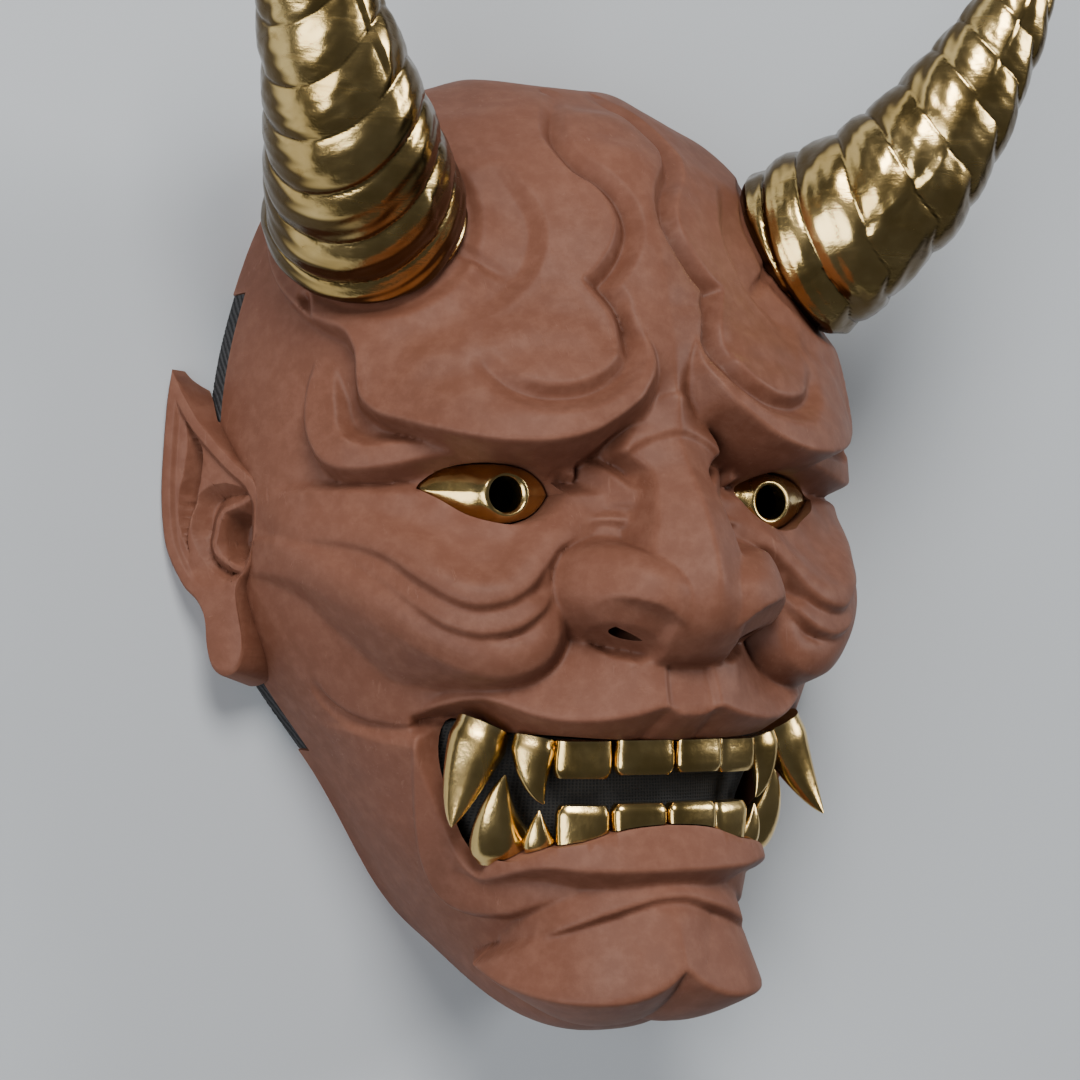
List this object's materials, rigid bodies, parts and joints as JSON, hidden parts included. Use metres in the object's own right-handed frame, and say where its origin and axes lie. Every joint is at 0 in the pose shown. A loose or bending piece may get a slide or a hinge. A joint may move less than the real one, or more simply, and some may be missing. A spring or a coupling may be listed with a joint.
{
  "type": "oni mask",
  "caption": "Wearable demon mask with a carved scowling face, ribbed curved horns, pointed ears, bared fangs, pierced eyes and side straps.",
  "frame": {"origin": "on the midline level with the eyes, in the plane of the flat rim that meets the wearer's face", "axes": "+X towards the right-hand horn as one faces the mask, +Y up to the crown, +Z out of the face"},
  "size_m": [0.205, 0.2739, 0.0962],
  "materials": {
    "casting": "matt red-brown casting with fine hand-worked scratches",
    "horn_gold": "polished antique gold over dark, streaked along the horns",
    "gold": "polished antique gold coat",
    "lining": "black open weave",
    "elastic": "black braided elastic"
  },
  "bodies": {
    "root": {"mask": "casting", "horn_left": "horn_gold", "horn_right": "horn_gold", "eye_left": "gold", "eye_right": "gold", "upper_teeth": "gold", "lower_teeth": "gold", "mouth_lining": "lining", "side_strap_left": "elastic", "side_strap_right": "elastic"}
  },
  "joints": []
}
